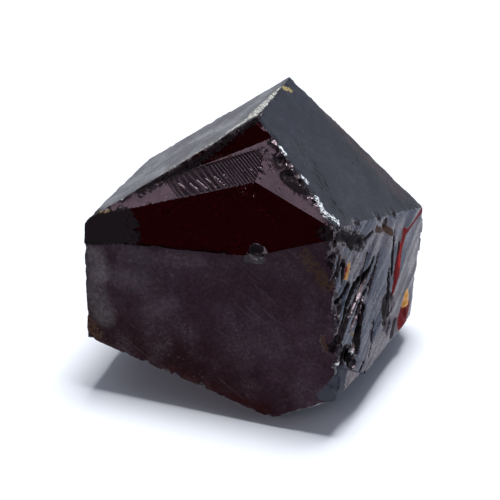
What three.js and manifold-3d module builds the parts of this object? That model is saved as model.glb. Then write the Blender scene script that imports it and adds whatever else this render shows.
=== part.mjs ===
// A rough ruby crystal: one broken, nearly opaque block of corundum about 32 mm wide.
// Three growth faces meet nearly square, as in a pseudo-cubic rhombohedron. A glassy
// fracture takes off the front top, and a ledged, broken face closes the right side.
// Millimetres, +Z up, front towards -Y. The origin is under the middle of the block,
// on the plane that the block rests on.

import * as THREE from 'three';
import { ConvexGeometry } from 'three/addons/geometries/ConvexGeometry.js';
import { mergeVertices } from 'three/addons/utils/BufferGeometryUtils.js';
import Module from 'manifold-3d';

const wasm = await Module();
wasm.setup();

// The block's middle, from which the distance of every face is measured.
const MIDDLE = new THREE.Vector3(0, 4, 14);

// Outward direction of each face: bearing 0 looks to the front and 90 to the right,
// slope 90 looks straight up. The distance is that of the face's plane from the middle.
const FACES = {
  front: { bearing: -18.7, slope: 9.2, distance: 8.73 },
  topRight: { bearing: 84.0, slope: 44.9, distance: 10.77 },
  topLeft: { bearing: -118.6, slope: 51.0, distance: 9.69 },
  right: { bearing: 62.9, slope: 7.7, distance: 12.29 },
  rightEnd: { bearing: 67.3, slope: -0.2, distance: 13.4 },
  farRight: { bearing: 111.5, slope: -9.9, distance: 17.3 },
  back: { bearing: 172.0, slope: -2.3, distance: 7.85 },
  backLeft: { bearing: -113.2, slope: -3.8, distance: 12.54 },
  left: { bearing: -96.8, slope: -1.8, distance: 14.78 },
  underLeft: { bearing: -53.8, slope: -65.1, distance: 14.33 },
  underRight: { bearing: 58.9, slope: -61.8, distance: 15.78 },
  bottom: { bearing: 0, slope: -90, distance: 14.0 },
};

// The glassy fracture over the front face: two facets that meet in a shallow hollow,
// a band above them that leans further back, and a steeper facet along the top edge.
const FRACTURE = {
  hollowLeft: { bearing: -19.6, slope: 18.7, distance: 8.77 },
  hollowRight: { bearing: -22.7, slope: 18.5, distance: 8.6 },
  band: { bearing: -27.8, slope: 35.4, distance: 9.99 },
  bandRight: { bearing: -16.1, slope: 34.4, distance: 10.4 },
  crest: { bearing: -17.0, slope: 20.0, distance: 8.02 },
};

const PLANES = { ...FACES, ...FRACTURE };

// Larger than the block, for the slabs that cleave it.
const REACH = 90;

// How far a cutter stands proud of the face that it cuts.
const PROUD = 0.3;

// Gouges on the ledged right face, from one end to the other in millimetres across and
// up the face, with the width and depth at the middle.
const LEDGES = [
  { from: [1.3, -1.6], to: [-6.4, -5.2], width: 1.1, depth: 0.8 },
  { from: [-0.4, -3.5], to: [-6.2, -6.6], width: 0.8, depth: 0.7 },
  { from: [-1.6, -5.1], to: [-6.3, -9.0], width: 1.3, depth: 0.9 },
  { from: [-6.2, 3.4], to: [-9.6, -0.9], width: 1.0, depth: 0.5 },
  { from: [-4.4, 1.5], to: [-6.0, -1.4], width: 0.9, depth: 0.7 },
  { from: [-3.9, -3.1], to: [-8.3, -7.3], width: 1.0, depth: 0.6 },
  { from: [-5.6, -2.2], to: [-8.8, -4.8], width: 0.8, depth: 0.5 },
  { from: [2.6, -1.2], to: [-1.8, -5.6], width: 0.7, depth: 0.35 },
  { from: [-6.6, -6.4], to: [-9.6, -11.8], width: 1.2, depth: 0.6 },
  { from: [5.6, -0.6], to: [3.4, -6.9], width: 0.9, depth: 0.35 },
  { from: [-4.9, 2.4], to: [-9.2, -2.2], width: 0.7, depth: 0.6 },
  { from: [-2.6, -4.4], to: [-5.4, -10.2], width: 0.7, depth: 0.5 },
  { from: [-7.0, -1.6], to: [-9.6, -6.4], width: 0.9, depth: 0.7 },
  { from: [0.6, -0.2], to: [-2.4, -2.6], width: 0.5, depth: 0.3 },
  { from: [-7.4, -8.6], to: [-10.2, -14.0], width: 1.4, depth: 0.5 },
  { from: [0.2, -6.4], to: [-3.0, -12.4], width: 0.6, depth: 0.25 },
];

// Low ribs that cross the band, between its lower and its upper crease.
const RIB_COUNT = 11;
const RIB_FIRST = [3.6, 6.3];
const RIB_LAST = [-4.4, 2.3];
const RIB_LENGTH = [3.3, 2.5];
const RIB_FALL = [1.8, 0.8];
const RIB_WIDTH = 0.36;
const RIB_DEPTH = 0.1;

// Steps where a layer of the block has come away. Each removes the face to its depth on
// one side of a line through its point, which runs at its turn from the face's across.
const STEPS = [
  { face: 'back', at: [-3.0, 4.0], turn: 35, depth: 0.7 },
  { face: 'back', at: [6.5, -2.0], turn: 215, depth: 0.9 },
  { face: 'farRight', at: [0.0, -3.0], turn: 160, depth: 0.35 },
  { face: 'backLeft', at: [-3.5, -3.0], turn: 125, depth: 0.6 },
  { face: 'underRight', at: [0.0, -4.0], turn: 100, depth: 0.4 },
  { face: 'right', at: [-6.9, -9.2], turn: 142, depth: 0.45 },
];

// Shallow shell-shaped scoops: point on the face, half sizes across and up, and depth.
const SCOOPS = [
  { face: 'back', at: [1.0, -3.6], size: [6.0, 4.2], depth: 0.8 },
  { face: 'backLeft', at: [0.5, -5.6], size: [4.0, 3.4], depth: 0.6 },
  { face: 'farRight', at: [1.5, 1.6], size: [2.8, 4.0], depth: 0.5 },
  { face: 'underLeft', at: [-4.0, 1.0], size: [5.5, 3.5], depth: 0.5 },
  { face: 'rightEnd', at: [6.1, -9.4], size: [0.6, 1.2], depth: 0.45 },
];

// Deeper uneven bites, most of them out of the right face: the face, the point on it and
// the radius.
const BITES = [
  { face: 'right', at: [3.4, -8.5], radius: 1.4 },
  { face: 'right', at: [2.9, -10.2], radius: 1.1 },
  { face: 'right', at: [-6.1, -8.3], radius: 1.0 },
  { face: 'right', at: [-5.4, -9.6], radius: 0.8 },
  { face: 'right', at: [3.8, 0.2], radius: 0.7 },
  { face: 'right', at: [-5.6, 2.6], radius: 0.9 },
  { face: 'bandRight', at: [4.4, 6.4], radius: 0.6 },
  { face: 'bandRight', at: [5.3, 5.0], radius: 0.6 },
];

// The round pit on the crease between the front face and the fracture.
const PIT = { face: 'front', at: [3.4, 1.8], radius: 1.0, sunk: 0.45 };

// Chipped edges: the two faces that meet there, the faces that end the edge, the number
// of chips and their usual radius.
const CHIPPED_EDGES = [
  { along: ['front', 'right'], ends: ['hollowRight', 'underRight'], count: 17, radius: 1.25 },
  { along: ['topRight', 'bandRight'], ends: ['crest', 'right'], count: 14, radius: 0.6 },
  { along: ['topLeft', 'crest'], ends: ['topRight', 'left'], count: 12, radius: 0.4 },
  { along: ['topLeft', 'topRight'], ends: ['crest', 'back'], count: 6, radius: 0.45 },
  { along: ['topRight', 'back'], ends: ['topLeft', 'farRight'], count: 13, radius: 0.8 },
  { along: ['topLeft', 'back'], ends: ['topRight', 'backLeft'], count: 8, radius: 0.35 },
  { along: ['topLeft', 'backLeft'], ends: ['back', 'left'], count: 6, radius: 0.4 },
  { along: ['topRight', 'right'], ends: ['hollowRight', 'farRight'], count: 7, radius: 0.55 },
  { along: ['rightEnd', 'farRight'], ends: ['topRight', 'underRight'], count: 5, radius: 0.7 },
  { along: ['front', 'underLeft'], ends: ['left', 'underRight'], count: 9, radius: 0.55 },
  { along: ['front', 'underRight'], ends: ['underLeft', 'right'], count: 5, radius: 0.55 },
  { along: ['right', 'underRight'], ends: ['front', 'rightEnd'], count: 5, radius: 0.6 },
  { along: ['front', 'left'], ends: ['hollowLeft', 'underLeft'], count: 6, radius: 0.5 },
  { along: ['back', 'backLeft'], ends: ['topLeft', 'bottom'], count: 6, radius: 0.7 },
  { along: ['back', 'farRight'], ends: ['topRight', 'underRight'], count: 5, radius: 0.7 },
];

// Share of its radius by which a chip's middle stands outside the edge.
const CHIP_OUTSIDE = 0.55;

const CHIP_SEED = 71;

// A small repeatable random source, from 0 to 1.
function makeRandom(seed) {
  let state = seed;
  return () => {
    state = (state * 1664525 + 1013904223) % 4294967296;
    return state / 4294967296;
  };
}

const random = makeRandom(CHIP_SEED);

function between(low, high) {
  return low + (high - low) * random();
}

function outward(face) {
  const bearing = THREE.MathUtils.degToRad(face.bearing);
  const slope = THREE.MathUtils.degToRad(face.slope);
  return new THREE.Vector3(
    Math.sin(bearing) * Math.cos(slope),
    -Math.cos(bearing) * Math.cos(slope),
    Math.sin(slope),
  );
}

// The matrix that puts local X across a face, local Y up it and local Z out of it.
function onFace(face, [across, up] = [0, 0], turn = 0) {
  const out = outward(face);
  const side = new THREE.Vector3(0, 0, 1).cross(out);
  if (side.lengthSq() < 1e-9) side.set(1, 0, 0);
  side.normalize();
  const rise = new THREE.Vector3().crossVectors(out, side);
  const foot = MIDDLE.clone()
    .addScaledVector(out, face.distance)
    .addScaledVector(side, across)
    .addScaledVector(rise, up);
  const matrix = new THREE.Matrix4().makeBasis(side, rise, out).setPosition(foot);
  return matrix.multiply(new THREE.Matrix4().makeRotationZ(THREE.MathUtils.degToRad(turn)));
}

// The corner where three faces meet.
function corner(a, b, c) {
  const [na, nb, nc] = [a, b, c].map(outward);
  const point = new THREE.Vector3();
  point.addScaledVector(new THREE.Vector3().crossVectors(nb, nc), a.distance);
  point.addScaledVector(new THREE.Vector3().crossVectors(nc, na), b.distance);
  point.addScaledVector(new THREE.Vector3().crossVectors(na, nb), c.distance);
  const volume = na.dot(new THREE.Vector3().crossVectors(nb, nc));
  return point.divideScalar(volume).add(MIDDLE);
}

// A three.js geometry as a solid that can be joined and cut.
function toSolid(geometry, matrix = new THREE.Matrix4()) {
  const plain = geometry.clone().applyMatrix4(matrix);
  plain.deleteAttribute('normal');
  plain.deleteAttribute('uv');
  const merged = mergeVertices(plain, 1e-5);
  return new wasm.Manifold(new wasm.Mesh({
    numProp: 3,
    vertProperties: new Float32Array(merged.attributes.position.array),
    triVerts: new Uint32Array(merged.index.array),
  }));
}

function toGeometry(solid) {
  const mesh = solid.getMesh();
  const geometry = new THREE.BufferGeometry();
  geometry.setAttribute('position', new THREE.BufferAttribute(mesh.vertProperties, 3));
  geometry.setIndex(new THREE.BufferAttribute(mesh.triVerts, 1));
  const faceted = geometry.toNonIndexed();
  faceted.computeVertexNormals();
  return faceted;
}

// Everything on the outer side of a face.
function outside(face) {
  const slab = new THREE.BoxGeometry(REACH, REACH, REACH).translate(0, 0, REACH / 2);
  return toSolid(slab, onFace(face));
}

// Takes off what is on the outer side of all the given faces at once.
function cleave(solid, ...faces) {
  return solid.subtract(faces.map(outside).reduce((a, b) => a.intersect(b)));
}

// The block of growth and parting faces, before anything is broken off.
function makeBlock() {
  const start = toSolid(new THREE.BoxGeometry(REACH / 2, REACH / 2, REACH / 2),
    new THREE.Matrix4().makeTranslation(MIDDLE));
  return Object.values(FACES).reduce((solid, face) => cleave(solid, face), start);
}

function breakFront(solid) {
  const { hollowLeft, hollowRight, band, bandRight, crest } = FRACTURE;
  const hollowed = cleave(solid, hollowLeft, hollowRight);
  const banded = cleave(cleave(hollowed, band, crest), bandRight, crest);
  return banded;
}

// A gouge with pointed ends, deepest along the middle half of its length.
function gouge(face, { from, to, width, depth }) {
  const start = new THREE.Vector3(...from, 0);
  const end = new THREE.Vector3(...to, 0);
  const along = end.clone().sub(start);
  const side = new THREE.Vector3(-along.y, along.x, 0).normalize();
  const point = (share, sideways, height) => start.clone()
    .addScaledVector(along, share)
    .addScaledVector(side, sideways)
    .setZ(height);
  const outline = [
    point(0, 0, PROUD),
    point(0.3, width / 2, PROUD),
    point(0.75, width / 2, PROUD),
    point(1, 0, PROUD),
    point(0.7, -width / 2, PROUD),
    point(0.25, -width / 2, PROUD),
    point(0.25, width * 0.3, -depth),
    point(0.7, width * 0.25, -depth * 0.8),
  ];
  return toSolid(new ConvexGeometry(outline), onFace(face));
}

function makeRibs() {
  const ribs = [];
  for (let i = 0; i < RIB_COUNT; i += 1) {
    const share = i / (RIB_COUNT - 1);
    const mix = ([a, b]) => THREE.MathUtils.lerp(a, b, share);
    const across = mix([RIB_FIRST[0], RIB_LAST[0]]);
    const up = mix([RIB_FIRST[1], RIB_LAST[1]]);
    ribs.push(gouge(FRACTURE.band, {
      from: [across, up],
      to: [across + mix(RIB_LENGTH), up - mix(RIB_FALL)],
      width: RIB_WIDTH,
      depth: RIB_DEPTH,
    }));
  }
  return ribs;
}

function makeStep({ face, at, turn, depth }) {
  const slab = new THREE.BoxGeometry(REACH, REACH, REACH).translate(0, REACH / 2, REACH / 2 - depth);
  return toSolid(slab, onFace(PLANES[face], at, turn));
}

// A scoop is the tip of a flat ellipsoid. Half of its height is below the face.
function makeScoop({ face, at, size, depth }) {
  const rim = Math.sqrt(3) / 2;
  const shell = new THREE.SphereGeometry(1, 22, 12).rotateX(Math.PI / 2);
  shell.scale(size[0] / rim, size[1] / rim, depth * 2);
  shell.translate(0, 0, depth);
  return toSolid(shell, onFace(PLANES[face], at));
}

function makePit() {
  const ball = new THREE.IcosahedronGeometry(PIT.radius, 2).translate(0, 0, PIT.radius - PIT.sunk);
  return toSolid(ball, onFace(PLANES[PIT.face], PIT.at));
}

// One chip: an uneven many-sided lump, flattened and turned at random.
function makeChip(centre, radius) {
  const lump = new THREE.IcosahedronGeometry(radius, 0);
  lump.scale(between(0.7, 1.5), between(0.7, 1.5), between(0.6, 1.1));
  const turn = new THREE.Euler(between(0, 6.28), between(0, 6.28), between(0, 6.28));
  const matrix = new THREE.Matrix4().makeRotationFromEuler(turn).setPosition(centre);
  return toSolid(lump, matrix);
}

function makeBite({ face, at, radius }) {
  const centre = new THREE.Vector3().setFromMatrixPosition(onFace(PLANES[face], at));
  return makeChip(centre.addScaledVector(outward(PLANES[face]), radius / 3), radius);
}

function makeEdgeChips({ along, ends, count, radius }) {
  const [a, b] = along.map((name) => PLANES[name]);
  const [start, end] = ends.map((name) => corner(a, b, PLANES[name]));
  const out = outward(a).add(outward(b)).normalize();
  const chips = [];
  for (let i = 0; i < count; i += 1) {
    const size = radius * between(0.55, 1.35);
    const share = (i + between(0.1, 0.9)) / count;
    const centre = start.clone().lerp(end, share).addScaledVector(out, size * CHIP_OUTSIDE);
    chips.push(makeChip(centre, size));
  }
  return chips;
}

function makeCrystal() {
  const cutters = [
    ...LEDGES.map((ledge) => gouge(FACES.right, ledge)),
    ...makeRibs(),
    ...STEPS.map(makeStep),
    ...SCOOPS.map(makeScoop),
    makePit(),
    ...BITES.map(makeBite),
    ...CHIPPED_EDGES.flatMap(makeEdgeChips),
  ];
  return cutters.reduce((solid, cutter) => solid.subtract(cutter), breakFront(makeBlock()));
}

// Moves a geometry so that the middle of its box is over the origin, with its foot at 0.
function standAtOrigin(geometry) {
  geometry.computeBoundingBox();
  const middle = geometry.boundingBox.getCenter(new THREE.Vector3());
  return geometry.translate(-middle.x, -middle.y, -geometry.boundingBox.min.z);
}

const rubyMaterial = new THREE.MeshStandardMaterial({
  color: 0x3a141d,
  roughness: 0.35,
  metalness: 0,
});

const crystal = new THREE.Mesh(standAtOrigin(toGeometry(makeCrystal())), rubyMaterial);
crystal.name = 'crystal';

const ruby = new THREE.Group();
ruby.add(crystal);

export default ruby;
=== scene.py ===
import math

import bmesh
import bpy
import numpy as np
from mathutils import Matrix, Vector, noise
from mathutils.kdtree import KDTree


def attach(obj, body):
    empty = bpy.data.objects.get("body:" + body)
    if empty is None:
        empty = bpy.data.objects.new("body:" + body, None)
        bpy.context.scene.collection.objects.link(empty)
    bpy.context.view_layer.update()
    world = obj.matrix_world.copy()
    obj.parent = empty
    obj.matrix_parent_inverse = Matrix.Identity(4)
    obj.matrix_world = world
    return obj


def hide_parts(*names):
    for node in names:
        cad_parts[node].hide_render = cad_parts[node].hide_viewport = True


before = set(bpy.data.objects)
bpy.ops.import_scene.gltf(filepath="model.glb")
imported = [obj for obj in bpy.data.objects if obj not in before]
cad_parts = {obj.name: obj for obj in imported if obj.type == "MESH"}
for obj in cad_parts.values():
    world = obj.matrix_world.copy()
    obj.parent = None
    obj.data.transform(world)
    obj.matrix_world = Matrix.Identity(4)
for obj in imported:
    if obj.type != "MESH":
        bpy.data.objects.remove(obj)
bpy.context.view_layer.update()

MM = 0.001

# The block's middle, in millimetres, from which the distance of every face is measured.
MIDDLE = np.array([-0.579, 2.172, 14.0])

# Each face: bearing of its outward direction (0 front, 90 right), slope and distance.
FACES = {
    "front": (-18.7, 9.2, 8.73),
    "top_right": (84.0, 44.9, 10.77),
    "top_left": (-118.6, 51.0, 9.69),
    "right": (62.9, 7.7, 12.29),
    "right_end": (67.3, -0.2, 13.4),
    "far_right": (111.5, -9.9, 17.3),
    "back": (172.0, -2.3, 7.85),
    "back_left": (-113.2, -3.8, 12.54),
    "left": (-96.8, -1.8, 14.78),
    "under_left": (-53.8, -65.1, 14.33),
    "under_right": (58.9, -61.8, 15.78),
    "bottom": (0.0, -90.0, 14.0),
    "hollow_left": (-19.6, 18.7, 8.77),
    "hollow_right": (-22.7, 18.5, 8.6),
    "band": (-27.8, 35.4, 9.99),
    "band_right": (-16.1, 34.4, 10.4),
    "crest": (-17.0, 20.0, 8.02),
}

# Longest mesh edge on each face, in millimetres. A face that isn't named takes COARSE.
COARSE = 0.5
FINENESS = {
    "front": 0.34,
    "top_right": 0.3,
    "top_left": 0.34,
    "right": 0.19,
    "right_end": 0.22,
    "hollow_left": 0.3,
    "hollow_right": 0.3,
    "band": 0.24,
    "band_right": 0.16,
    "crest": 0.2,
}

# The same for broken surface, for the band's ribs, and within reach of the block's edges.
BROKEN_FINENESS = 0.17
RIB_FINENESS = 0.045
EDGE_FINENESS = 0.15
EDGE_REACH = 0.45

# How many times longer than all of these an edge may be, at most how many rounds of cuts
# there are, and the shortest edge that is cut.
LOOSENESS = 1.8
MOST_ROUNDS = 11
SHORTEST_CUT = EDGE_FINENESS * 0.6

# Corners of the CAD solid that lie closer than this are one, in millimetres.
WELD = 0.003

# How near to a face's plane a spot of that face lies, and how well it faces the same way.
PLANE_REACH = 0.02
PLANE_FACING = 0.998

# Edges that are flatter than FLAT may be turned, those sharper than WORN are worn, and
# shading breaks at those sharper than SHARP.
FLAT = 0.006
WORN = math.radians(18)
SHARP = math.radians(26)
CREASE_SPACING = 0.12

# The photo's camera, in millimetres. Its place and its aim are counted from a spot on the
# floor, and it sees VIEW_WIDTH at VIEW_DISTANCE.
CAMERA_FOOT = MIDDLE - np.array([0.0, 4.0, 14.0])
CAMERA_BACK = 251.6
CAMERA_HEIGHT = 177.54
AIM_HEIGHT = 14.15
VIEW_WIDTH = 46.4
VIEW_DISTANCE = 300.0
SENSOR = 36.0


def outward(name):
    bearing, slope, _ = FACES[name]
    bearing, slope = math.radians(bearing), math.radians(slope)
    return np.array([
        math.sin(bearing) * math.cos(slope),
        -math.cos(bearing) * math.cos(slope),
        math.sin(slope),
    ])


def face_axes(name):
    """Out, across and up directions of a face, and the foot of its plane, in millimetres."""
    out = outward(name)
    across = np.cross([0.0, 0.0, 1.0], out)
    across /= np.linalg.norm(across)
    return out, across, np.cross(out, across), MIDDLE + out * FACES[name][2]


def on_face(name, points):
    """Each point's place across and up a face, and its height above the face's plane."""
    out, across, up, foot = face_axes(name)
    offset = points - foot
    return offset @ across, offset @ up, offset @ out


def smooth(low, high, value):
    share = np.clip((value - low) / (high - low), 0.0, 1.0)
    return share * share * (3.0 - 2.0 * share)


def sample_noise(points, scale, seed=0.0, stretch=(1.0, 1.0, 1.0), octaves=1):
    """Smooth seeded noise from about -1 to 1 at each point, with features of 1/scale mm."""
    spots = points * (np.array(stretch) * scale) + seed
    if octaves == 1:
        return np.array([noise.noise(Vector(spot)) for spot in spots])
    return np.array([noise.fractal(Vector(spot), 0.8, 2.0, octaves) for spot in spots])


def flat_edges(bm):
    return [edge for edge in bm.edges if edge.is_manifold and edge.calc_face_angle(0.0) < FLAT]


def crease_tree(bm):
    """A search tree of points along the edges that stand out and so are worn."""
    spots = []
    for edge in bm.edges:
        if edge.is_manifold and edge.calc_face_angle_signed(0.0) > WORN:
            steps = max(1, math.ceil(edge.calc_length() / CREASE_SPACING))
            start, end = (vert.co.copy() for vert in edge.verts)
            spots += [start.lerp(end, step / steps) for step in range(steps + 1)]
    tree = KDTree(len(spots))
    for index, spot in enumerate(spots):
        tree.insert(spot, index)
    tree.balance()
    return tree


def nearest(points, tree):
    return np.array([tree.find(Vector(point))[2] for point in points])


def lies_on(name, points, normals):
    """Whether each spot, with its surface's direction, belongs to the named face."""
    near = np.abs(on_face(name, points)[2]) < PLANE_REACH
    return near & (normals @ outward(name) > PLANE_FACING)


def wanted_length(middles, normals, edge_distance):
    """The longest that a mesh edge may be at each place, before any looseness."""
    length = np.full(len(middles), COARSE)
    on_any = np.zeros(len(middles), bool)
    for name in FACES:
        here = lies_on(name, middles, normals)
        on_any |= here
        length[here] = FINENESS.get(name, COARSE)
    depth = on_face("right", middles)[2]
    length[~on_any] = np.where(depth[~on_any] > -2.5, BROKEN_FINENESS, BROKEN_FINENESS * 2)
    length = np.where(edge_distance < EDGE_REACH, np.minimum(length, EDGE_FINENESS), length)
    close = np.flatnonzero(np.abs(on_face("band", middles)[2]) < 0.4)
    ribbed = place_ribs(middles[close])[1] * (normals[close] @ outward("band") > 0.1) > 0.02
    length[close[ribbed]] = RIB_FINENESS
    return length


def edge_state(bm):
    """The middles, lengths and surface directions of all edges."""
    bm.verts.index_update()
    bm.normal_update()
    places = np.array([vert.co[:] for vert in bm.verts])
    pairs = np.array([(edge.verts[0].index, edge.verts[1].index) for edge in bm.edges])
    normals = np.array([edge.link_faces[0].normal[:] for edge in bm.edges])
    ends = places[pairs]
    return ends.mean(axis=1), np.linalg.norm(ends[:, 0] - ends[:, 1], axis=1), normals


def even_out(bm):
    """Turns diagonals for better triangles, then takes out those that fold on themselves."""
    bmesh.ops.beautify_fill(bm, faces=bm.faces[:], edges=flat_edges(bm))
    bm.verts.index_update()
    bm.normal_update()
    alike = {}
    for face in bm.faces:
        alike.setdefault(frozenset(vert.index for vert in face.verts), []).append(face)
    spare = []
    for group in alike.values():
        if len(group) > 1:
            way = sum((face.normal for face in group), Vector())
            group.sort(key=lambda face: -face.normal.dot(way))
            spare += group[len(group) % 2:]
    bmesh.ops.delete(bm, geom=spare, context="FACES")


def refine(bm, creases, looseness):
    """Cuts every edge that is longer than its place wants, and keeps the triangles even."""
    even_out(bm)
    for _ in range(MOST_ROUNDS):
        middles, length, normals = edge_state(bm)
        may_cut = np.flatnonzero(length > SHORTEST_CUT)
        reach = nearest(middles[may_cut], creases) - length[may_cut] / 2
        wanted = wanted_length(middles[may_cut], normals[may_cut], reach) * looseness
        chosen = may_cut[length[may_cut] > wanted]
        if len(chosen) == 0:
            break
        bm.edges.ensure_lookup_table()
        cut = [bm.edges[index] for index in chosen]
        bmesh.ops.subdivide_edges(bm, edges=cut, cuts=1)
        bmesh.ops.triangulate(bm, faces=[face for face in bm.faces if len(face.verts) > 3])
        even_out(bm)


def load_block():
    """The CAD solid as one welded mesh in millimetres."""
    bm = bmesh.new()
    bm.from_mesh(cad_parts["crystal"].data)
    bmesh.ops.scale(bm, vec=(1 / MM,) * 3, verts=bm.verts)
    bmesh.ops.remove_doubles(bm, verts=bm.verts, dist=WELD)
    bmesh.ops.dissolve_degenerate(bm, edges=bm.edges, dist=WELD)
    bmesh.ops.triangulate(bm, faces=[face for face in bm.faces if len(face.verts) > 3])
    return bm


# Each kind of surface: how frosted it is, how rough its gloss is, and its dull colour. The
# blue-grey of the top right, right, right end and under right colours is partly painted reflection
# of the pale blue surroundings.
SURFACES = {
    "front": (1.0, 0.86, (0.034, 0.014, 0.024)),
    "top_right": (0.5, 0.36, (0.012, 0.016, 0.022)),
    "top_left": (0.6, 0.5, (0.075, 0.076, 0.082)),
    "right": (0.4, 0.34, (0.038, 0.053, 0.080)),
    "right_end": (0.4, 0.34, (0.040, 0.038, 0.054)),
    "under_right": (0.4, 0.4, (0.030, 0.040, 0.060)),
    "hollow_left": (0.0, 0.05, (0.010, 0.001, 0.001)),
    "hollow_right": (0.0, 0.05, (0.010, 0.001, 0.001)),
    "band": (0.1, 0.2, (0.018, 0.006, 0.010)),
    "band_right": (0.12, 0.18, (0.016, 0.005, 0.008)),
    "crest": (0.02, 0.07, (0.010, 0.001, 0.001)),
}
BROKEN = (0.14, 0.34, (0.006, 0.004, 0.005))
HIDDEN = (0.45, 0.36, (0.012, 0.007, 0.009))

# Narrow dark gaps between the plates: two places across and up a face, half width, depth.
# A depth below zero stands out, as the bead and the red body under it do.
GAPS = [
    ("right_end", (5.25, -1.40), (2.62, -5.56), 0.16, 0.22),
    ("right", (0.94, -1.85), (-0.79, -2.80), 0.16, 0.3),
    ("right", (-0.94, -2.50), (-3.28, -2.45), 0.28, 0.42),
    ("right", (-3.28, -2.45), (-5.18, -3.28), 0.34, 0.5),
    ("right", (-5.18, -3.28), (-7.87, -6.62), 0.36, 0.5),
    ("right", (-4.47, -1.66), (-6.51, -2.29), 0.26, 0.4),
    ("right", (0.05, -3.82), (-3.66, -4.91), 0.13, 0.25),
    ("right", (-1.94, -5.37), (-3.24, -6.78), 0.22, 0.42),
    ("right", (-3.24, -6.78), (-4.28, -8.88), 0.3, 0.42),
    ("right", (-4.97, 1.06), (-6.20, 0.29), 0.2, 0.3),
    ("right", (-6.62, 1.99), (-8.38, -0.99), 0.22, 0.34),
    ("right", (-8.43, -2.87), (-9.76, -4.95), 0.25, 0.3),
    ("right", (3.80, -4.66), (2.52, -7.31), 0.18, 0.25),
    ("right", (-6.45, -7.69), (-5.72, -9.10), 0.55, 0.6),
    ("right", (-3.30, -10.67), (-5.22, -11.48), 0.14, 0.2),
    ("right_end", (6.50, -8.30), (6.59, -8.70), 0.5, -0.3),
    ("right_end", (6.18, -9.37), (5.72, -10.47), 0.7, -0.2),
    ("right", (-5.31, 3.98), (-1.34, 1.24), 0.3, 0.22),
    ("right", (-4.49, 3.94), (-2.99, 1.42), 0.2, 0.16),
    ("right", (-0.56, 0.91), (1.13, 0.82), 0.16, 0.12),
]

# Soft changes of a face's dull colour: two places across and up, half width, change.
TONES = [
    ("top_right", (7.75, 2.30), (5.80, -8.30), 1.3, (0.030, 0.012, 0.004)),
    ("top_right", (5.02, -2.09), (2.21, -5.65), 0.4, (-0.006, -0.008, -0.010)),
    ("top_right", (3.92, -7.93), (5.94, -10.64), 0.9, (-0.007, -0.009, -0.012)),
    ("top_right", (0.56, 4.34), (-2.26, -1.97), 1.2, (0.003, 0.003, 0.004)),
    ("front", (-12.27, -1.63), (-11.82, -3.18), 1.0, (0.100, 0.098, 0.100)),
    ("front", (-12.15, -5.09), (-11.07, -7.56), 1.0, (0.070, 0.072, 0.072)),
    ("front", (-10.42, -3.31), (-7.65, -3.38), 1.0, (0.030, 0.030, 0.032)),
    ("front", (-6.54, -6.24), (-4.43, -5.00), 0.8, (0.030, 0.028, 0.032)),
    ("front", (-9.71, -1.14), (-1.91, -0.24), 0.6, (0.024, 0.022, 0.026)),
    ("front", (3.56, -4.63), (6.37, -6.31), 0.5, (0.014, 0.012, 0.015)),
    # Darker and redder along the front's lower edge: painted shade near the floor.
    ("front", (-4.32, -11.80), (5.27, -14.28), 0.55, (0.006, -0.010, -0.012)),
]
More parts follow.
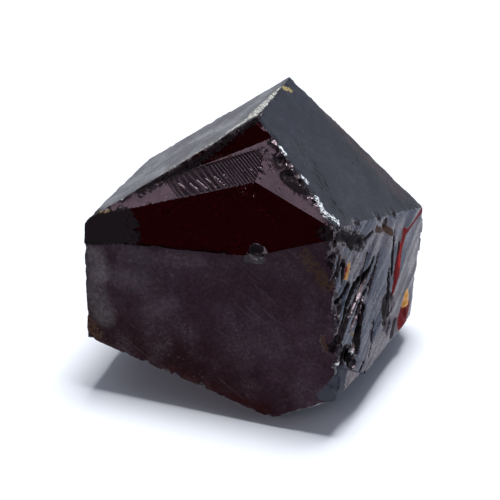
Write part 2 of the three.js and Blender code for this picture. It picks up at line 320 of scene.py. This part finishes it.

# Stains and bruises, with painted glints, painted shade in dark holes and a painted highlight on
# the bead:
# two places across and up a face, half width, strength, colour. A strength well under one leaves
# only flecks.
STAINS_AND_PAINTED_LIGHT = [
    ("right_end", (10.93, -0.82), (6.84, -1.12), 0.2, 0.9, "blood"),
    ("right_end", (6.55, -0.83), (5.31, -2.23), 0.32, 1.0, "blood"),
    ("right_end", (5.31, -2.23), (3.86, -4.28), 0.36, 1.0, "blood"),
    ("right_end", (3.86, -4.28), (2.63, -5.68), 0.24, 1.0, "blood"),
    ("right_end", (5.53, -1.57), (4.62, -3.61), 0.15, 1.0, "crimson"),
    # Painted shade in the dark recess below the bead.
    ("right_end", (3.47, -9.51), (2.97, -10.12), 0.7, 0.9, "black"),
    ("right_end", (6.18, -9.37), (5.72, -10.47), 1.2, 1.0, "blood"),
    ("right_end", (6.51, -10.03), (5.98, -10.28), 0.5, 0.54, "crimson"),
    # Iron stain on the bead with a painted highlight of light shining through it.
    ("right_end", (6.50, -8.30), (6.59, -8.70), 0.75, 1.0, "amber_stain_and_highlight"),
    # Painted shade in the dark recess left of the bead.
    ("right", (2.85, -7.83), (2.36, -8.97), 1.0, 1.0, "black"),
    ("top_left", (5.02, 4.69), (3.64, 7.47), 0.8, 0.42, "pale"),
    ("top_left", (3.64, 7.47), (2.02, 9.80), 1.2, 0.46, "pale"),
    ("top_left", (0.68, 9.13), (-4.65, 9.21), 1.3, 0.44, "pale"),
    ("top_left", (2.47, 10.12), (6.34, 0.18), 0.5, 0.36, "pale"),
    ("front", (8.15, 2.31), (10.21, -0.18), 0.8, 0.47, "umber"),
    ("front", (10.26, -5.42), (10.53, -6.68), 0.3, 0.52, "umber"),
    ("front", (-12.64, -8.49), (-11.60, -9.53), 0.6, 0.52, "umber"),
    ("front", (2.63, 0.99), (3.92, 1.09), 0.36, 0.95, "dust"),
    ("hollow_right", (3.72, 0.71), (4.20, 0.77), 0.42, 0.9, "black"),
    ("right", (2.28, -7.39), (1.93, -8.94), 0.8, 0.95, "black"),
    ("top_right", (4.80, 7.03), (5.51, 6.06), 0.32, 0.54, "ochre"),
    ("right", (-3.69, 0.02), (-4.65, -0.81), 0.24, 1.0, "orange"),
    ("right", (-4.23, 0.12), (-4.90, -0.56), 0.16, 1.0, "blood"),
    ("right", (-8.48, 2.00), (-8.20, 1.43), 0.3, 0.62, "orange"),
    ("right", (-5.30, 1.88), (-5.50, 1.47), 0.25, 0.62, "brown"),
    ("right", (-5.59, 4.55), (-5.31, 3.14), 0.5, 0.47, "brown"),
    ("right", (-4.81, -6.61), (-4.52, -7.21), 0.16, 0.95, "yellow"),
    ("right", (-10.21, -3.83), (-10.15, -4.83), 0.28, 0.52, "yellow"),
    ("right", (-10.86, -10.31), (-9.64, -11.28), 0.4, 0.52, "brown"),
    ("top_right", (-2.53, -6.94), (-1.40, -8.04), 0.42, 0.85, "brown"),
    ("right", (3.73, -0.19), (4.79, -1.31), 0.35, 0.85, "brown"),
    ("right", (-6.00, 4.57), (-1.01, 0.84), 0.9, 0.6, "black"),
    ("right", (-6.95, -9.77), (-8.19, -11.41), 1.1, 0.85, "slate"),
    ("right", (-5.85, -11.42), (-7.38, -11.58), 0.22, 0.75, "black"),
    ("right", (-5.77, 3.81), (-4.60, 0.85), 0.5, 0.42, "umber"),
    # Painted glints on small chips of the right face.
    ("right", (-8.92, -7.92), (-7.84, -8.20), 0.17, 1.0, "painted_glint"),
    ("right", (-8.92, -7.92), (-8.90, -8.26), 0.14, 1.0, "painted_glint"),
    ("right", (-5.71, -7.70), (-5.14, -8.47), 0.12, 0.8, "painted_glint"),
    ("right", (-6.22, -8.80), (-6.17, -8.94), 0.14, 1.0, "painted_glint"),
    ("right", (-7.54, -3.07), (-7.56, -3.59), 0.2, 0.52, "painted_glint"),
    ("right", (-8.31, 0.75), (-8.32, 0.55), 0.14, 1.0, "painted_glint"),
    # Painted glints along the chipped edge of the top right face.
    ("top_right", (-4.71, 6.12), (-5.06, 5.43), 0.22, 0.52, "painted_glint"),
    ("top_right", (-6.15, 3.21), (-6.37, 2.40), 0.25, 0.52, "painted_glint"),
    ("top_right", (-7.38, 0.97), (-8.65, -0.10), 0.42, 0.49, "painted_glint"),
    ("top_right", (-8.36, -0.06), (-8.05, -1.59), 0.42, 0.47, "painted_glint"),
    ("band", (-3.32, 4.48), (0.54, 5.93), 0.22, 0.52, "rust"),
    ("band_right", (2.49, 6.85), (4.26, 5.82), 0.7, 0.5, "black"),
    ("band_right", (4.23, 6.00), (6.53, 3.96), 0.75, 0.52, "black"),
    ("band_right", (5.23, 4.50), (6.55, 3.87), 0.3, 1.0, "black"),
    ("band_right", (6.55, 3.87), (7.88, 3.71), 0.2, 0.8, "black"),
    # A painted glint in a pit among the flakes.
    ("band_right", (5.01, 4.53), (5.06, 4.49), 0.08, 1.2, "painted_glint"),
    ("hollow_left", (-12.51, -0.41), (-9.60, 0.33), 1.5, 0.95, "soot"),
    ("hollow_left", (-9.03, 1.49), (-8.59, -0.82), 0.45, 0.85, "soot"),
    ("hollow_left", (-9.72, 1.46), (-8.53, -0.43), 0.9, 0.62, "soot"),
    ("hollow_left", (-11.97, 1.14), (-10.90, 1.34), 0.25, 0.52, "ochre"),
    ("crest", (-8.64, 3.56), (-3.25, 7.52), 0.5, 0.62, "black"),
    ("crest", (-3.25, 7.52), (1.60, 12.19), 0.45, 0.6, "black"),
]
COLOURS = {
    "ochre": (0.34, 0.26, 0.09),
    "pale": (0.70, 0.70, 0.60),
    "orange": (0.48, 0.23, 0.04),
    "amber_stain_and_highlight": (0.66, 0.30, 0.03),
    "yellow": (0.17, 0.13, 0.04),
    "brown": (0.050, 0.024, 0.012),
    "umber": (0.075, 0.040, 0.022),
    "blood": (0.15, 0.003, 0.003),
    "rust": (0.040, 0.005, 0.004),
    "crimson": (0.46, 0.012, 0.006),
    "painted_glint": (0.80, 0.84, 0.86),
    "dust": (0.060, 0.056, 0.062),
    "slate": (0.052, 0.060, 0.078),
    "black": (0.0015, 0.0010, 0.0012),
    "soot": (0.0030, 0.0020, 0.0018),
}

# How much wider than a gap its painted shade is, and how strong.
GAP_SHADE = (1.3, 0.9)

# The grey of worn edges, partly real bruising and partly painted glints off their chips, and how
# strong it is on them.
WORN_AND_GLINT_GREY = (0.3, 0.3, 0.32)
WORN_AND_GLINT_STRENGTH = 0.42

# The part of the top right face that carries short dark scores, as two places on it.
SCORED = ((-2.23, 3.71), (-6.46, -1.92))

# Faces with thin ledges, and faces that are smooth as glass.
LEDGED = ("right", "right_end", "under_right")
GLASSY = ("hollow_left", "hollow_right", "crest", "band", "band_right")

# The ledges' lean, as a cosine and a sine, then their width and drop and the plates' swell.
LEDGE_LEAN = (0.906, 0.424)
LEDGE_WIDTH = 0.72
LEDGE_DROP = 0.24
PLATE_SWELL = 0.16

# The ribs' lean, their widths before and after they turn narrow, and where they do so.
RIB_LEAN = (0.859, 0.511)
WIDE_RIB = 0.56
NARROW_RIB = 0.27
NARROW_FROM = 3.2

# A rib's height, the share of its width that rises, and the counts over which they sink.
RIB_HEIGHT = 0.04
RIB_RISE = 0.25
RIBS_SINK = (4.8, 6.6)

# Painted shade on the front: what is left of its colour at its lower edge, and what comes back
# above it.
LOW_SHADE = np.array([0.38, 0.03, 0.05])
SHADE_RISE = np.array([0.62, 0.97, 0.95])


def near_line(name, start, end, points):
    """Distance from a line drawn on a face, with depth below the face counted less."""
    out, across, up, foot = face_axes(name)
    first, last = (foot + across * spot[0] + up * spot[1] for spot in (start, end))
    run = last - first
    share = np.clip((points - first) @ run / max(run @ run, 1e-6), 0.0, 1.0)
    offset = points - first - share[:, None] * run
    depth = offset @ out
    return np.sqrt(np.maximum((offset * offset).sum(axis=1) - 0.8 * depth * depth, 0.0))


def ledge_relief(points):
    """Thin broken plates on the right face, stepping down across their run."""
    across, up, _ = on_face("right", points)
    cosine, sine = LEDGE_LEAN
    along = across * cosine + up * sine
    over = up * cosine - across * sine
    flat = np.stack([along, over, np.zeros(len(along))], axis=1)
    bend = sample_noise(flat, 1.0, 3.0, (0.22, 0.55, 1.0))
    layer = (over + 0.7 * bend) / LEDGE_WIDTH
    saw = layer - np.floor(layer)
    size = 0.5 + 0.5 * sample_noise(flat, 1.0, 8.0, (0.2, 0.5, 1.0))
    ledged = 1.0 - smooth(0.6, 2.6, across)
    plates = sample_noise(flat, 1.0, 21.0, (0.2, 0.9, 1.0))
    height = -LEDGE_DROP * size * saw ** 1.6 * ledged
    return height + PLATE_SWELL * plates


def place_ribs(points):
    """The running count of the band's fine ribs at each point, and how clear they are."""
    across, up, _ = on_face("band", points)
    cosine, sine = RIB_LEAN
    over = across * sine + up * cosine
    along = across * cosine - up * sine
    flat = np.stack([along, over, np.zeros(len(along))], axis=1)
    bend = sample_noise(flat, 0.45, 14.0) * (1.0 - 0.85 * smooth(2.5, 4.0, over))
    place = over + 0.28 * bend + 0.05 * along
    narrow = NARROW_FROM / WIDE_RIB + (place - NARROW_FROM) / NARROW_RIB
    count = np.where(place < NARROW_FROM, place / WIDE_RIB, narrow)
    start = along - (0.565 * over - 5.45)
    clear = smooth(-0.15, 0.25, start) * smooth(-1.3, -0.5, over)
    return count, clear * (1.0 - smooth(7.2, 7.7, over))


def rib_height(count):
    """How far each rib stands up over its width: a quick rise and a slow fall."""
    rise = count - np.floor(count)
    return smooth(0.0, RIB_RISE, rise) * (1.0 - rise) * (1.0 - 0.3 * smooth(*RIBS_SINK, count))


def worn_edges(points, edge_distance):
    """Chips and rounding that stay close to the edges of the block."""
    chip = sample_noise(points, 0.85, 31.0)
    grit = np.abs(sample_noise(points, 2.6, 7.0, octaves=2))
    far = 1.0 - smooth(0.4, 1.0, np.abs(on_face("back", points)[2]))
    worn = 1.0 - smooth(0.0, 0.42 + 0.4 * far, edge_distance)
    for upper, lower in (("band", "hollow_left"), ("band_right", "hollow_right")):
        apart = np.maximum(np.abs(on_face(upper, points)[2]), np.abs(on_face(lower, points)[2]))
        worn *= 0.2 + 0.8 * smooth(0.2, 0.5, apart)
    chips = (0.14 + 0.16 * far) * np.maximum(chip, 0.0)
    return -worn * (0.02 + 0.05 * far + chips + 0.06 * grit)


def face_shares(bm, points):
    """For each named face, the share of the surface round each point that lies on it."""
    corners = np.array([[vert.index for vert in face.verts] for face in bm.faces])
    middles = points[corners].mean(axis=1)
    normals = np.array([face.normal[:] for face in bm.faces])
    areas = np.repeat(np.array([face.calc_area() for face in bm.faces]) + 1e-9, 3)
    around = np.bincount(corners.ravel(), weights=areas, minlength=len(points))
    shares = {}
    for name in FACES:
        chosen = lies_on(name, middles, normals)
        weights = areas * np.repeat(chosen, 3)
        held = np.bincount(corners.ravel(), weights=weights, minlength=len(points))
        shares[name] = held / around
    return shares


def surface_state(points, edge_distance, shares):
    """Relief in millimetres, frost, gloss roughness and dull colour at each point, with painted
    shade on the front's lower part.
    """
    height = worn_edges(points, edge_distance)
    broken = 1.0 - np.clip(sum(shares.values()), 0.0, 1.0)
    frost = broken * BROKEN[0]
    gloss = broken * BROKEN[1]
    skin = broken[:, None] * np.array(BROKEN[2])
    swell = sample_noise(points, 0.16, 4.0)
    ripple = sample_noise(points, 0.7, 9.0)
    height += broken * 0.045 * sample_noise(points, 1.7, 12.0, octaves=3)
    for name, share in shares.items():
        here = share > 0.0
        cover, rough, colour = SURFACES.get(name, HIDDEN)
        fade, mist = np.ones(len(points)), np.ones(len(points))
        if name == "front":
            across, up, _ = on_face(name, points)
            above = -on_face("under_left", points)[2] + 1.6 * ripple
            fade = smooth(0.3, 8.0, above + 0.3 * np.maximum(across, 0.0))
            left = 1.0 - smooth(-12.0, -3.0, across)
            right = 1.0 - smooth(1.5, 4.0, np.hypot(across - 6.0, up + 5.5))
            mist = 0.6 + 0.4 * np.clip(0.25 + 0.75 * left + 0.35 * right, 0.0, 1.0) * fade
        frost += share * cover * mist
        gloss += share * rough
        # On the front, painted shade darkens and reddens the colour towards its lower edge near
        # the floor.
        tone = np.array(colour) * (LOW_SHADE + fade[:, None] * SHADE_RISE)
        for place, start, end, width, change in TONES:
            if place == name:
                amount = 1.0 - smooth(0.4, 1.6, near_line(name, start, end, points) / width)
                tone = tone + amount[:, None] * np.array(change)
        skin += share[:, None] * np.maximum(tone, 0.0)
        if name in LEDGED:
            relief = ledge_relief(points[here])
        elif name in GLASSY:
            relief = 0.05 * swell[here]
        elif name in SURFACES:
            relief = 0.03 * swell[here] + 0.008 * ripple[here]
        else:
            steps = np.floor(2.2 * swell[here] + 0.3 * ripple[here])
            relief = 0.07 * steps + 0.02 * ripple[here]
        height[here] += share[here] * relief
    for name, start, end, width, deep in GAPS:
        height -= deep * (1.0 - smooth(0.35, 1.5, near_line(name, start, end, points) / width))
    height[points[:, 2] < PLANE_REACH] = 0.0
    return height, frost, gloss, skin


def paint_stains_and_light(points, normals, edge_distance):
    """Colour of the stains, bruises, painted shade and painted glints at each point, with their
    strength as a fourth value.
    """
    stain_and_light = np.zeros((len(points), 4))
    # Worn edges start grey: partly bruising, partly painted glints off their chips.
    stain_and_light[:, :3] = WORN_AND_GLINT_GREY
    stain_and_light[:, 3] = WORN_AND_GLINT_STRENGTH * (1.0 - smooth(0.0, 0.3, edge_distance))
    wider, dark = GAP_SHADE
    # Each gap is painted black as painted shade inside it.
    lines = [(*place, wider * width, dark, "black") for *place, width, _ in GAPS]
    for name, start, end, width, strength, colour in lines + STAINS_AND_PAINTED_LIGHT:
        away = near_line(name, start, end, points) / width
        amount = strength * (1.0 - smooth(0.7, 1.5, away))
        if name in ("top_left", "front"):
            amount *= normals @ outward(name) > 0.7
        chosen = amount > np.maximum(0.04, 0.7 * stain_and_light[:, 3])
        stain_and_light[chosen, :3] = COLOURS[colour]
        stain_and_light[chosen, 3] = amount[chosen]
    return stain_and_light


def make_ruby():
    """The visible stone: the refined solid with its relief and the values for its looks."""
    bm = load_block()
    creases = crease_tree(bm)
    refine(bm, creases, LOOSENESS)
    bm.normal_update()
    bm.verts.index_update()
    points = np.array([vert.co[:] for vert in bm.verts])
    normals = np.array([vert.normal[:] for vert in bm.verts])
    shares = face_shares(bm, points)
    edge_distance = nearest(points, creases)
    ribs, clear = place_ribs(points)
    depth = on_face("band", points)[2]
    broken = 1.0 - np.clip(sum(shares.values()), 0.0, 1.0)
    clear *= (np.abs(depth) < 0.6) & (normals @ outward("band") > 0.1)
    clear *= np.clip(shares["band"] + broken, 0.0, 1.0)
    ribbed = broken * clear
    shares["band"] += ribbed
    edge_distance += clear
    height, frost, gloss, skin = surface_state(points, edge_distance, shares)
    moved = points + normals * height[:, None]
    moved += (clear * (RIB_HEIGHT * rib_height(ribs) - depth))[:, None] * outward("band")
    moved[:, 2] = np.maximum(moved[:, 2], 0.0)
    mesh = bpy.data.meshes.new("ruby")
    bm.to_mesh(mesh)
    bm.free()
    mesh.vertices.foreach_set("co", (moved * MM).astype(np.float32).ravel())
    values = {
        "frost": frost,
        "gloss": gloss,
        "ribs": ribs,
        "ribbed": clear,
        "layered": shares["right"] + shares["right_end"],
        "front_share": shares["front"],
        "top_share": shares["top_right"],
        "scored": 1.0 - smooth(0.4, 1.5, near_line("top_right", *SCORED, points)),
    }
    for key, numbers in values.items():
        layer = mesh.attributes.new(key, "FLOAT", "POINT")
        layer.data.foreach_set("value", numbers.astype(np.float32))
    colours = {
        "skin": np.column_stack([skin, np.ones(len(points))]),
        "stain_and_light": paint_stains_and_light(points, normals, edge_distance),
    }
    for key, numbers in colours.items():
        layer = mesh.attributes.new(key, "FLOAT_COLOR", "POINT")
        layer.data.foreach_set("color", numbers.astype(np.float32).ravel())
    mesh.polygons.foreach_set("use_smooth", np.ones(len(mesh.polygons), bool))
    mesh.update()
    mesh.set_sharp_from_angle(angle=SHARP)
    return bpy.data.objects.new("ruby", mesh)


class Nodes:
    """Short calls that add shader nodes and link what they are given."""

    def __init__(self, tree):
        self.tree = tree
        tree.nodes.clear()

    def add(self, kind, inputs=None, **settings):
        node = self.tree.nodes.new(kind)
        for key, value in settings.items():
            setattr(node, key, value)
        for key, value in (inputs or {}).items():
            self.feed(node.inputs[key], value)
        return node

    def feed(self, socket, value):
        if isinstance(value, bpy.types.NodeSocket):
            self.tree.links.new(value, socket)
        else:
            socket.default_value = value

    def math(self, operation, a, b=0.0, c=0.0, clamp=False):
        node = self.add("ShaderNodeMath", {0: a, 1: b, 2: c}, operation=operation, use_clamp=clamp)
        return node.outputs[0]

    def ramp(self, value, low, high, to_low=0.0, to_high=1.0):
        inputs = {"Value": value, "From Min": low, "From Max": high}
        inputs |= {"To Min": to_low, "To Max": to_high}
        return self.add("ShaderNodeMapRange", inputs, interpolation_type="SMOOTHSTEP").outputs[0]

    def blend(self, factor, a, b):
        node = self.add("ShaderNodeMix", {0: factor, 6: a, 7: b}, data_type="RGBA")
        return node.outputs[2]

    def noise(self, place, scale, detail=2.0, rough=0.5, stretch=(1.0, 1.0, 1.0)):
        mapped = self.add("ShaderNodeMapping", {"Vector": place, "Scale": stretch}).outputs[0]
        inputs = {"Vector": mapped, "Scale": scale, "Detail": detail, "Roughness": rough}
        return self.add("ShaderNodeTexNoise", inputs).outputs["Fac"]

    def vector(self, operation, a, b):
        inputs = {0: a, "Scale" if operation == "SCALE" else 1: b}
        node = self.add("ShaderNodeVectorMath", inputs, operation=operation)
        return node.outputs["Value" if operation == "DOT_PRODUCT" else "Vector"]

    def product(self, first, *others):
        for other in others:
            first = self.math("MULTIPLY", first, other)
        return first

    def attribute(self, name, output="Fac"):
        return self.add("ShaderNodeAttribute", attribute_name=name).outputs[output]

    def turned(self, place, name, lean, stretch):
        """The place along a leaning direction on a face, over it and out of it, stretched."""
        out, across, up, _ = face_axes(name)
        cosine, sine = math.cos(math.radians(lean)), math.sin(math.radians(lean))
        axes = (across * cosine + up * sine, up * cosine - across * sine, out)
        rows = {}
        for index, (axis, scale) in enumerate(zip(axes, stretch)):
            rows[index] = self.vector("DOT_PRODUCT", place, tuple(axis * scale))
        return self.add("ShaderNodeCombineXYZ", rows).outputs[0]


# The stone itself: its colour where it is clear, what it absorbs inside, and its gloss.
CLEAR_RUBY = (0.6, 0.02, 0.035, 1.0)
DEEP_RED = (0.8, 0.02, 0.1, 1.0)
ABSORPTION = 2000.0
RUBY_IOR = 1.77
SPECULAR_LEVEL = 0.19
SPECULAR_TINT = (1.0, 0.76, 0.88, 1.0)

# Colours over its dull faces.
DUSTY_FRONT = (0.060, 0.048, 0.058, 1.0)
MIST = (0.2, 0.19, 0.2, 1.0)
FRONT_MARK = (0.11, 0.10, 0.11, 1.0)
SATIN_DARK = (0.004, 0.006, 0.009, 1.0)
TOP_MARK = (0.001, 0.001, 0.002, 1.0)

# Surroundings: pale tones at the back and dark ones in front, low and high, the window's
# colour, the ways to its middle and across its height, and what the camera sees behind.
BACK_TONES = ((0.38, 0.43, 0.54, 1.0), (0.34, 0.38, 0.43, 1.0))
FRONT_TONES = ((0.006, 0.005, 0.006, 1.0), (0.1, 0.1, 0.11, 1.0))
WINDOW = (1.55, 1.4, 1.55, 1.0)
WINDOW_WAY = (-0.582, -0.63, 0.515)
WINDOW_SIDE = (0.271, 0.446, 0.853)
BACKDROP = (0.95, 0.97, 1.0, 1.0)
FLOOR = (0.82, 0.85, 0.91, 1.0)

# The light's size and place and the floor's reach, in metres, and the light's power.
LIGHT_SIZE = 0.15
LIGHT_PLACE = (0.03, 0.078, 0.395)
LIGHT_POWER = 2.0
FLOOR_REACH = 0.22
FLOOR_FRONT = 0.04


def new_material(name):
    material = bpy.data.materials.new(name)
    material.use_nodes = True
    return material, Nodes(material.node_tree)


def make_ruby_material():
    """Clear stone under frost, stains, painted shade and glints, scores and ribs, as the mesh's
    values place them.
    """
    material, nodes = new_material("ruby")
    place = nodes.add("ShaderNodeTexCoord").outputs["Object"]
    spot = nodes.vector("SCALE", place, 1 / MM)
    frost = nodes.attribute("frost")
    gloss = nodes.attribute("gloss")
    front = nodes.attribute("front_share")
    top = nodes.attribute("top_share")
    layered = nodes.attribute("layered")
    patches = nodes.noise(spot, 0.3, 6.0, 0.62)
    grain = nodes.noise(spot, 4.0, 3.0, 0.6)
    uneven = nodes.ramp(patches, 0.33, 0.67, 0.45, 1.35)
    fine = nodes.ramp(grain, 0.3, 0.7, 0.8, 1.15)
    cover = nodes.math("MULTIPLY", nodes.math("MULTIPLY", frost, uneven), fine, clamp=True)

    front_lines = nodes.noise(nodes.turned(spot, "front", -32.0, (0.16, 3.4, 1.0)), 1.0, 3.0, 0.6)
    front_marks = nodes.math("MULTIPLY", nodes.ramp(front_lines, 0.6, 0.72), front)
    top_lines = nodes.noise(nodes.turned(spot, "top_right", 58.5, (0.9, 4.6, 1.0)), 1.0, 3.0, 0.6)
    scored = nodes.math("MULTIPLY_ADD", nodes.attribute("scored"), 0.15, top_lines)
    top_marks = nodes.math("MULTIPLY", nodes.ramp(scored, 0.68, 0.71), top)
    plates = nodes.noise(nodes.turned(spot, "right", 30.0, (0.25, 1.8, 1.0)), 1.0, 2.0, 0.45)

    skin = nodes.attribute("skin", "Color")
    clouds = nodes.noise(spot, 0.2, 4.0, 0.5)
    thick = nodes.ramp(frost, 0.6, 1.0, 0.0, 0.8)
    dusty = nodes.product(nodes.ramp(clouds, 0.42, 0.64), thick, front)
    skin = nodes.blend(dusty, skin, DUSTY_FRONT)
    spray = nodes.noise(spot, 2.6, 4.0, 0.75)
    shade = nodes.ramp(spray, 0.3, 0.7, 0.62, 1.42)
    skin = nodes.vector("SCALE", skin, shade)
    misty = nodes.math("MULTIPLY", nodes.ramp(spray, 0.6, 0.7), nodes.ramp(clouds, 0.48, 0.64))
    misty = nodes.product(misty, nodes.math("MULTIPLY", front, 0.5))
    skin = nodes.blend(misty, skin, MIST)
    skin = nodes.blend(nodes.math("MULTIPLY", front_marks, 0.35), skin, FRONT_MARK)
    satin = nodes.math("MULTIPLY", nodes.ramp(top_lines, 0.4, 0.6), top)
    skin = nodes.blend(nodes.math("MULTIPLY", satin, 0.7), skin, SATIN_DARK)
    skin = nodes.blend(nodes.math("MULTIPLY", top_marks, 0.8), skin, TOP_MARK)
    colour = nodes.blend(nodes.ramp(cover, 0.0, 0.08), CLEAR_RUBY, skin)

    stain_and_light = nodes.attribute("stain_and_light", "Color")
    strength = nodes.attribute("stain_and_light", "Alpha")
    flecks = nodes.noise(spot, 4.5, 4.0, 0.7)
    broken_up = nodes.math("ADD", strength, nodes.math("MULTIPLY_ADD", flecks, 1.4, -0.7))
    held = nodes.ramp(strength, 0.03, 0.2)
    painted_over = nodes.math("MULTIPLY", nodes.ramp(broken_up, 0.5, 0.62), held)
    coloured = nodes.math("MULTIPLY", nodes.ramp(broken_up, 0.42, 0.5), held)
    colour = nodes.blend(coloured, colour, stain_and_light)
    through = nodes.ramp(cover, 0.06, 0.4, 0.965, 0.03)
    through = nodes.math("MULTIPLY", through, nodes.math("SUBTRACT", 1.0, painted_over))

    mottle = nodes.ramp(patches, 0.35, 0.65, 0.8, 1.25)
    dull = nodes.product(gloss, mottle, nodes.ramp(grain, 0.3, 0.7, 0.85, 1.15))
    tint_green = nodes.add("ShaderNodeSeparateColor", {0: stain_and_light}).outputs["Green"]
    dry = nodes.ramp(tint_green, 0.02, 0.3, 0.85, 0.4)
    dull = nodes.ramp(painted_over, 0.0, 1.0, dull, nodes.math("MAXIMUM", dull, dry))
    dull = nodes.ramp(top_marks, 0.0, 1.0, dull, 0.9)

    count = nodes.attribute("ribs")
    saw = nodes.math("FRACT", count)
    rise = nodes.ramp(saw, 0.0, RIB_RISE)
    sink = nodes.ramp(count, *RIBS_SINK, 1.0, 0.9)
    fall = nodes.math("SUBTRACT", 1.0, saw)
    rib = nodes.product(rise, fall, sink, nodes.attribute("ribbed"))
    sheets = nodes.math("MULTIPLY", plates, layered)
    marks = nodes.math("MULTIPLY", top_marks, -0.6)
    relief = nodes.math("MULTIPLY_ADD", rib, 1.5, nodes.math("MULTIPLY_ADD", sheets, 1.4, marks))
    relief = nodes.math("ADD", relief, nodes.math("MULTIPLY", grain, 0.14))
    bump = nodes.add("ShaderNodeBump", {"Height": relief, "Strength": 0.9, "Distance": 0.02 * MM})
    shader = nodes.add("ShaderNodeBsdfPrincipled", {
        "Base Color": colour,
        "Roughness": dull,
        "IOR": RUBY_IOR,
        "Specular IOR Level": SPECULAR_LEVEL,
        "Specular Tint": SPECULAR_TINT,
        "Transmission Weight": through,
        "Normal": bump.outputs[0],
    })
    inside = {"Color": DEEP_RED, "Density": ABSORPTION}
    depth = nodes.add("ShaderNodeVolumeAbsorption", inside)
    output = nodes.add("ShaderNodeOutputMaterial")
    nodes.feed(output.inputs["Surface"], shader.outputs[0])
    nodes.feed(output.inputs["Volume"], depth.outputs[0])
    return material


def make_world():
    """Soft studio surroundings: pale behind, dark in front but for one high window."""
    world = bpy.data.worlds.new("studio")
    world.use_nodes = True
    bpy.context.scene.world = world
    nodes = Nodes(world.node_tree)
    way = nodes.add("ShaderNodeTexCoord").outputs["Generated"]
    parts = nodes.add("ShaderNodeSeparateXYZ", {0: way}).outputs
    height = parts["Z"]
    front = nodes.math("MULTIPLY_ADD", parts["Y"], -0.8, nodes.math("MULTIPLY", parts["X"], -0.6))
    back_tone = nodes.blend(nodes.ramp(height, 0.1, 0.8), *BACK_TONES)
    front_tone = nodes.blend(nodes.ramp(height, 0.3, 0.9), *FRONT_TONES)
    tone = nodes.blend(nodes.ramp(front, -0.3, 0.5), back_tone, front_tone)
    towards = nodes.ramp(nodes.vector("DOT_PRODUCT", way, WINDOW_WAY), 0.89, 0.94)
    aside = nodes.math("ABSOLUTE", nodes.vector("DOT_PRODUCT", way, WINDOW_SIDE))
    inside = nodes.math("MULTIPLY", towards, nodes.ramp(aside, 0.09, 0.17, 1.0, 0.0))
    tone = nodes.blend(inside, tone, WINDOW)
    seen = nodes.add("ShaderNodeLightPath").outputs["Is Camera Ray"]
    shown = nodes.blend(seen, tone, BACKDROP)
    background = nodes.add("ShaderNodeBackground", {"Color": shown, "Strength": 1.0})
    output = nodes.add("ShaderNodeOutputWorld")
    nodes.feed(output.inputs["Surface"], background.outputs[0])


def aim_at(item, target):
    item.rotation_euler = (target - item.location).to_track_quat("-Z", "Y").to_euler()


def make_light():
    """A soft light above and behind, turned to the frame's origin."""
    data = bpy.data.lights.new("softbox", "AREA")
    data.size = LIGHT_SIZE
    data.energy = LIGHT_POWER
    light = bpy.data.objects.new("softbox", data)
    light.location = LIGHT_PLACE
    aim_at(light, Vector())
    bpy.context.collection.objects.link(light)


def make_floor():
    """A plain pale floor that ends a little in front of the stone."""
    mesh = bpy.data.meshes.new("floor")
    size, front = FLOOR_REACH, FLOOR_FRONT
    corners = [(-size, -front, 0), (size, -front, 0), (size, size, 0), (-size, size, 0)]
    mesh.from_pydata(corners, [], [(0, 1, 2, 3)])
    floor = bpy.data.objects.new("floor", mesh)
    material, nodes = new_material("floor")
    shader = nodes.add("ShaderNodeBsdfPrincipled", {"Base Color": FLOOR, "Roughness": 0.7})
    output = nodes.add("ShaderNodeOutputMaterial")
    nodes.feed(output.inputs["Surface"], shader.outputs[0])
    mesh.materials.append(material)
    bpy.context.collection.objects.link(floor)


ruby = make_ruby()
bpy.context.collection.objects.link(ruby)
ruby.data.materials.append(make_ruby_material())
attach(ruby, "root")
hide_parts("crystal")
make_world()
make_light()
make_floor()
bpy.context.scene.view_settings.view_transform = "Standard"

camera_data = bpy.data.cameras.new("camera")
camera_data.sensor_width = SENSOR
camera_data.lens = SENSOR * VIEW_DISTANCE / VIEW_WIDTH
camera_data.clip_start = 0.01
camera = bpy.data.objects.new("camera", camera_data)
camera.location = Vector((CAMERA_FOOT + [0.0, -CAMERA_BACK, CAMERA_HEIGHT]) * MM)
aim_at(camera, Vector((CAMERA_FOOT + [0.0, 0.0, AIM_HEIGHT]) * MM))
bpy.context.collection.objects.link(camera)
bpy.context.scene.camera = camera
